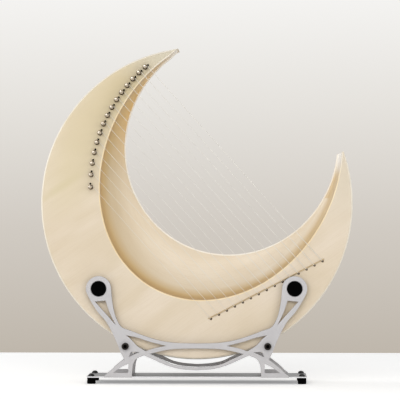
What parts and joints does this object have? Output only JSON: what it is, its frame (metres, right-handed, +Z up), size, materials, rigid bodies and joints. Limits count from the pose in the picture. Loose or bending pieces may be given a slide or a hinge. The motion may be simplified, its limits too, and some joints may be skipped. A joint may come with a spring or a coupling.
{
  "type": "lyre harp",
  "caption": "Crescent-shaped wooden lyre harp with steel strings, tuning pins and a coved inner wall, resting in a low openwork metal table stand.",
  "frame": {"origin": "on the floor, in the middle of the whole object's footprint", "axes": "+X to the right as the player's side is seen from the front, +Y away from that side, +Z up"},
  "size_m": [0.437, 0.104, 0.4694],
  "materials": {
    "face_wood": "pale close-grained wood, satin lacquer",
    "wall_wood": "pale bent wood, satin lacquer",
    "block_wood": "plain sawn wood",
    "chrome": "bright plating",
    "string_steel": "drawn steel wire",
    "saddle_metal": "dark aged brass rod",
    "anodised_aluminium": "cut plate, satin silver",
    "bolt_steel": "dark plated steel",
    "rubber": "matt black rubber",
    "black_screw": "black coated steel"
  },
  "bodies": {
    "stand": {"front_frame": "anodised_aluminium", "rear_frame": "anodised_aluminium", "base_plate": "anodised_aluminium", "spacer_tube_left": "anodised_aluminium", "spacer_tube_right": "anodised_aluminium", "cross_bolt_left": "bolt_steel", "cross_bolt_right": "bolt_steel", "pad_front_left": "rubber", "pad_front_right": "rubber", "pad_rear_left": "rubber", "pad_rear_right": "rubber", "foot_front_left": "rubber", "foot_front_right": "rubber", "foot_rear_left": "rubber", "foot_rear_right": "rubber", "foot_screw_front_left": "black_screw", "foot_screw_front_right": "black_screw", "foot_screw_rear_left": "black_screw", "foot_screw_rear_right": "black_screw"},
    "harp": {"front_plate": "face_wood", "back_plate": "face_wood", "outer_rim": "face_wood", "left_tip_block": "face_wood", "right_tip_block": "face_wood", "inner_wall": "wall_wood", "pin_block": "block_wood", "bridge_block": "block_wood", "front_brace": "block_wood", "saddle_rod": "saddle_metal", "string_01": "string_steel", "string_02": "string_steel", "string_03": "string_steel", "string_04": "string_steel", "string_05": "string_steel", "string_06": "string_steel", "string_07": "string_steel", "string_08": "string_steel", "string_09": "string_steel", "string_10": "string_steel", "string_11": "string_steel", "string_12": "string_steel", "string_13": "string_steel", "string_14": "string_steel", "string_15": "string_steel"},
    "pin_01": {"tuning_pin_01": "chrome"},
    "pin_02": {"tuning_pin_02": "chrome"},
    "pin_03": {"tuning_pin_03": "chrome"},
    "pin_04": {"tuning_pin_04": "chrome"},
    "pin_05": {"tuning_pin_05": "chrome"},
    "pin_06": {"tuning_pin_06": "chrome"},
    "pin_07": {"tuning_pin_07": "chrome"},
    "pin_08": {"tuning_pin_08": "chrome"},
    "pin_09": {"tuning_pin_09": "chrome"},
    "pin_10": {"tuning_pin_10": "chrome"},
    "pin_11": {"tuning_pin_11": "chrome"},
    "pin_12": {"tuning_pin_12": "chrome"},
    "pin_13": {"tuning_pin_13": "chrome"},
    "pin_14": {"tuning_pin_14": "chrome"},
    "pin_15": {"tuning_pin_15": "chrome"}
  },
  "joints": [
    {"name": "harp_lift", "type": "slide", "parent": "stand", "child": "harp", "axis": [0, 0, 1], "range_m": [0, 0.16]},
    {"name": "pin_01_turn", "type": "hinge", "parent": "harp", "child": "pin_01", "pos_m": [-0.1486, 0.004, 0.27515], "axis": [0, -1, 0], "continuous": true},
    {"name": "pin_02_turn", "type": "hinge", "parent": "harp", "child": "pin_02", "pos_m": [-0.14798, 0.004, 0.29251], "axis": [0, -1, 0], "continuous": true},
    {"name": "pin_03_turn", "type": "hinge", "parent": "harp", "child": "pin_03", "pos_m": [-0.14618, 0.004, 0.30857], "axis": [0, -1, 0], "continuous": true},
    {"name": "pin_04_turn", "type": "hinge", "parent": "harp", "child": "pin_04", "pos_m": [-0.14341, 0.004, 0.32356], "axis": [0, -1, 0], "continuous": true},
    {"name": "pin_05_turn", "type": "hinge", "parent": "harp", "child": "pin_05", "pos_m": [-0.13982, 0.004, 0.33764], "axis": [0, -1, 0], "continuous": true},
    {"name": "pin_06_turn", "type": "hinge", "parent": "harp", "child": "pin_06", "pos_m": [-0.1355, 0.004, 0.35092], "axis": [0, -1, 0], "continuous": true},
    {"name": "pin_07_turn", "type": "hinge", "parent": "harp", "child": "pin_07", "pos_m": [-0.13054, 0.004, 0.36349], "axis": [0, -1, 0], "continuous": true},
    {"name": "pin_08_turn", "type": "hinge", "parent": "harp", "child": "pin_08", "pos_m": [-0.12498, 0.004, 0.3754], "axis": [0, -1, 0], "continuous": true},
    {"name": "pin_09_turn", "type": "hinge", "parent": "harp", "child": "pin_09", "pos_m": [-0.11887, 0.004, 0.38671], "axis": [0, -1, 0], "continuous": true},
    {"name": "pin_10_turn", "type": "hinge", "parent": "harp", "child": "pin_10", "pos_m": [-0.11225, 0.004, 0.39745], "axis": [0, -1, 0], "continuous": true},
    {"name": "pin_11_turn", "type": "hinge", "parent": "harp", "child": "pin_11", "pos_m": [-0.10513, 0.004, 0.40765], "axis": [0, -1, 0], "continuous": true},
    {"name": "pin_12_turn", "type": "hinge", "parent": "harp", "child": "pin_12", "pos_m": [-0.09755, 0.004, 0.41732], "axis": [0, -1, 0], "continuous": true},
    {"name": "pin_13_turn", "type": "hinge", "parent": "harp", "child": "pin_13", "pos_m": [-0.0895, 0.004, 0.42649], "axis": [0, -1, 0], "continuous": true},
    {"name": "pin_14_turn", "type": "hinge", "parent": "harp", "child": "pin_14", "pos_m": [-0.081, 0.004, 0.43516], "axis": [0, -1, 0], "continuous": true},
    {"name": "pin_15_turn", "type": "hinge", "parent": "harp", "child": "pin_15", "pos_m": [-0.07205, 0.004, 0.44334], "axis": [0, -1, 0], "continuous": true}
  ]
}
